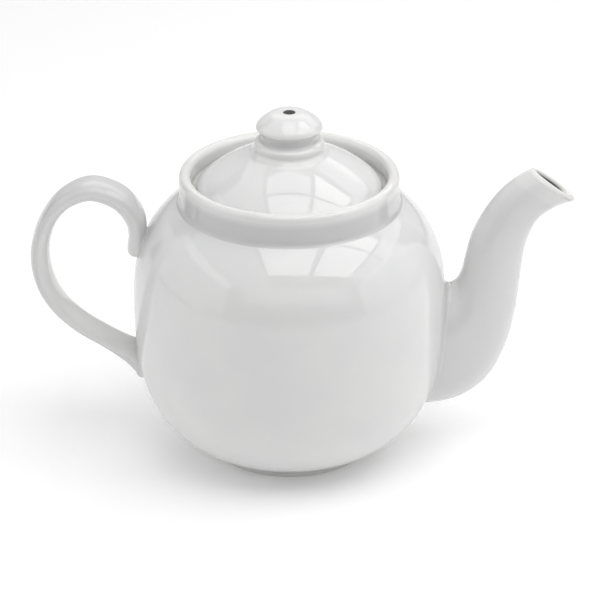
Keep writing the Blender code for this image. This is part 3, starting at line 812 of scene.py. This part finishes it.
def luting(name, node, piece, keep, radius, reach):
    """Fillet of slip that fills the corner between a piece and the belly."""
    loop = onto_belly(joint_loop(*piece, keep))
    tree = BVHTree.FromPolygons([Vector(p) for p in piece[0]], piece[1])
    center = loop.mean(0)

    def onto_piece(point):
        found = [tree.find_nearest(Vector(p)) for p in point]
        spots = np.array([f[0] for f in found])
        normals = np.array([f[1] for f in found])
        return spots, normals

    tangent = unit(np.roll(loop, -1, 0) - np.roll(loop, 1, 0))
    _, piece_n = onto_piece(loop)
    wall_n = belly_normal(loop)
    outward_sign = np.sign(np.einsum("ij,ij->i", piece_n, loop - center))
    piece_n = blur(piece_n * np.where(outward_sign == 0, 1.0, outward_sign)[:, None], 2.0)
    piece_n = unit(piece_n)
    up_piece = np.cross(tangent, piece_n)
    up_piece *= np.sign(np.einsum("ij,ij->i", up_piece, wall_n))[:, None]
    off_wall = np.cross(tangent, wall_n)
    off_wall *= np.sign(np.einsum("ij,ij->i", off_wall, piece_n))[:, None]
    up_piece, off_wall = unit(blur(up_piece, 2.0)), unit(blur(off_wall, 2.0))
    between = np.arccos(np.clip(np.einsum("ij,ij->i", up_piece, off_wall), -1.0, 1.0))
    span = np.clip(radius / np.tan(between / 2.0), reach[0], reach[1])
    span = blur(span, 4.0)[:, None]

    top, top_n = onto_piece(loop + up_piece * span)
    top_n = unit(blur(top_n * np.sign(np.einsum("ij,ij->i", top_n, piece_n))[:, None], 1.5))
    top = blur(top, 1.2)
    base = onto_belly(loop + off_wall * span)
    base_n = belly_normal(base)

    def pull(start, normal, share):
        toward = loop - start
        toward -= normal * np.einsum("ij,ij->i", toward, normal)[:, None]
        return start + toward * share

    top_pull, base_pull = pull(top, top_n, 0.62), pull(base, base_n, 0.62)
    above, _ = onto_piece(loop + up_piece * (span + 1.2))
    beyond = onto_belly(loop + off_wall * (span + 1.2))
    rows = [above - top_n * 0.06]
    for t in np.linspace(0.0, 1.0, 13):
        rows.append(
            top * (1 - t) ** 3 + top_pull * 3 * t * (1 - t) ** 2
            + base_pull * 3 * t * t * (1 - t) + base * t ** 3
        )
    rows.append(beyond - base_n * 0.06)
    rows.append(loop - unit(piece_n + wall_n) * 0.9)
    points, faces = skin(rows, loop=True)
    # The fillet is painted greyer across its middle: pooled glaze and painted shade in the corner.
    share = np.concatenate(([0.0], np.sin(np.linspace(0.0, math.pi, 13)) ** 1.5, (0.0, 0.0)))
    glaze_and_shading_paint = np.repeat(share * 0.45, len(loop))
    place(name, make_mesh(name, points, faces), node, "pot", glaze_and_shading_paint)


luting(
    "spout_slip_joint_porcelain", "spout_slip_joint", spout_outer,
    lambda p: p[:, 2] > 0.0, 2.6, (1.2, 3.4),
)
luting(
    "handle_upper_slip_joint_porcelain", "handle_upper_slip_joint", handle_outer,
    lambda p: p[:, 2] > HANDLE_MIDDLE_Z, 1.2, (0.7, 2.4),
)
luting(
    "handle_lower_slip_joint_porcelain", "handle_lower_slip_joint", handle_outer,
    lambda p: p[:, 2] < HANDLE_MIDDLE_Z, 1.2, (0.7, 2.4),
)


# ---------------------------------------------------------------- floor, light and camera
def sweep():
    """Pale studio floor that curves up far behind the pot."""
    path = [(-3.2, 0.0), (2.4, 0.0)]
    for degree in range(5, 91, 5):
        a = math.radians(degree)
        path.append((2.4 + 1.2 * math.sin(a), 1.2 - 1.2 * math.cos(a)))
    path.append((3.6, 3.2))
    points = [(x, y, z) for y, z in path for x in (-4.0, 4.0)]
    faces = [(2 * i, 2 * i + 1, 2 * i + 3, 2 * i + 2) for i in range(len(path) - 1)]
    mesh = bpy.data.meshes.new("studio_floor")
    mesh.from_pydata(points, [], faces)
    mesh.shade_smooth()
    obj = bpy.data.objects.new("studio_floor", mesh)
    bpy.context.scene.collection.objects.link(obj)
    material = bpy.data.materials.new("pale_paper")
    material.use_nodes = True
    tree = material.node_tree
    shader = tree.nodes["Principled BSDF"]
    fibre = tree.nodes.new("ShaderNodeTexNoise")
    fibre.inputs["Scale"].default_value = 900.0
    spread = tree.nodes.new("ShaderNodeMapRange")
    spread.inputs["To Min"].default_value = 0.92
    spread.inputs["To Max"].default_value = 0.95
    tree.links.new(fibre.outputs["Fac"], spread.inputs["Value"])
    tree.links.new(spread.outputs["Result"], shader.inputs["Base Color"])
    shader.inputs["Roughness"].default_value = 0.9
    shader.inputs["Specular IOR Level"].default_value = 0.1
    shader.inputs["Emission Color"].default_value = (1.0, 1.0, 1.0, 1.0)
    shader.inputs["Emission Strength"].default_value = 0.11
    mesh.materials.append(material)


sweep()


def panel(name, center, size, turn, radiance):
    """Flat light panel; unturned it lies level and lights downwards. Metres and degrees."""
    light = bpy.data.lights.new(name, "AREA")
    light.shape = "RECTANGLE"
    light.size, light.size_y = size
    light.energy = radiance * math.pi * size[0] * size[1]
    obj = bpy.data.objects.new(name, light)
    obj.location = center
    obj.rotation_euler = [math.radians(angle) for angle in turn]
    bpy.context.scene.collection.objects.link(obj)


def level_panel(name, low, high, height, radiance):
    middle = ((low[0] + high[0]) / 2.0, (low[1] + high[1]) / 2.0, height)
    panel(name, middle, (high[0] - low[0], high[1] - low[1]), (0.0, 0.0, 0.0), radiance)


# The soft box over the pot has six panes with dark bars between them; the rest is the soft room.
BOX_Z = 0.9
level_panel("box_left_front", (-0.24, -0.645), (0.215, -0.018), BOX_Z, 2.6)
level_panel("box_left_back", (-0.24, 0.018), (0.215, 0.23), BOX_Z, 1.85)
level_panel("box_middle_front", (0.27, -0.645), (0.83, -0.018), BOX_Z, 2.8)
level_panel("box_middle_back", (0.27, 0.018), (0.83, 0.30), BOX_Z, 3.0)
level_panel("box_right_front", (0.88, -0.645), (1.4, -0.018), BOX_Z, 1.0)
level_panel("box_right_back", (0.88, 0.018), (1.4, 0.42), BOX_Z, 1.5)
level_panel("ceiling_back", (-0.6, 0.45), (1.4, 1.45), 0.95, 1.05)
level_panel("ceiling_left", (-1.4, -1.1), (-0.3, 0.5), 0.95, 0.77)
panel("wall_left", (-1.3, -0.2, 0.6), (2.0, 1.1), (90.0, 0.0, -90.0), 0.85)
panel("wall_right", (1.7, -0.2, 0.6), (2.0, 1.1), (90.0, 0.0, 90.0), 0.95)
panel("wall_back", (0.0, 1.4, 0.75), (2.6, 1.3), (-90.0, 0.0, 0.0), 0.34)
panel("wall_front", (0.2, -1.9, 1.15), (3.2, 0.9), (90.0, 0.0, 0.0), 0.75)

world = bpy.data.worlds.new("studio")
bpy.context.scene.world = world
world.use_nodes = True
world.node_tree.nodes["Background"].inputs["Color"].default_value = (1.0, 1.0, 1.0, 1.0)
world.node_tree.nodes["Background"].inputs["Strength"].default_value = 0.03

camera = bpy.data.cameras.new("view")
camera.sensor_width = 36.0
camera.lens = 199.68
camera.clip_end = 50.0
eye = bpy.data.objects.new("view", camera)
eye.location = (-0.001066, -1.34862, 0.72793)
eye.rotation_euler = (math.radians(90.0 - 25.963), 0.0, 0.0)
bpy.context.scene.collection.objects.link(eye)
bpy.context.scene.camera = eye
bpy.context.scene.view_settings.view_transform = "Standard"
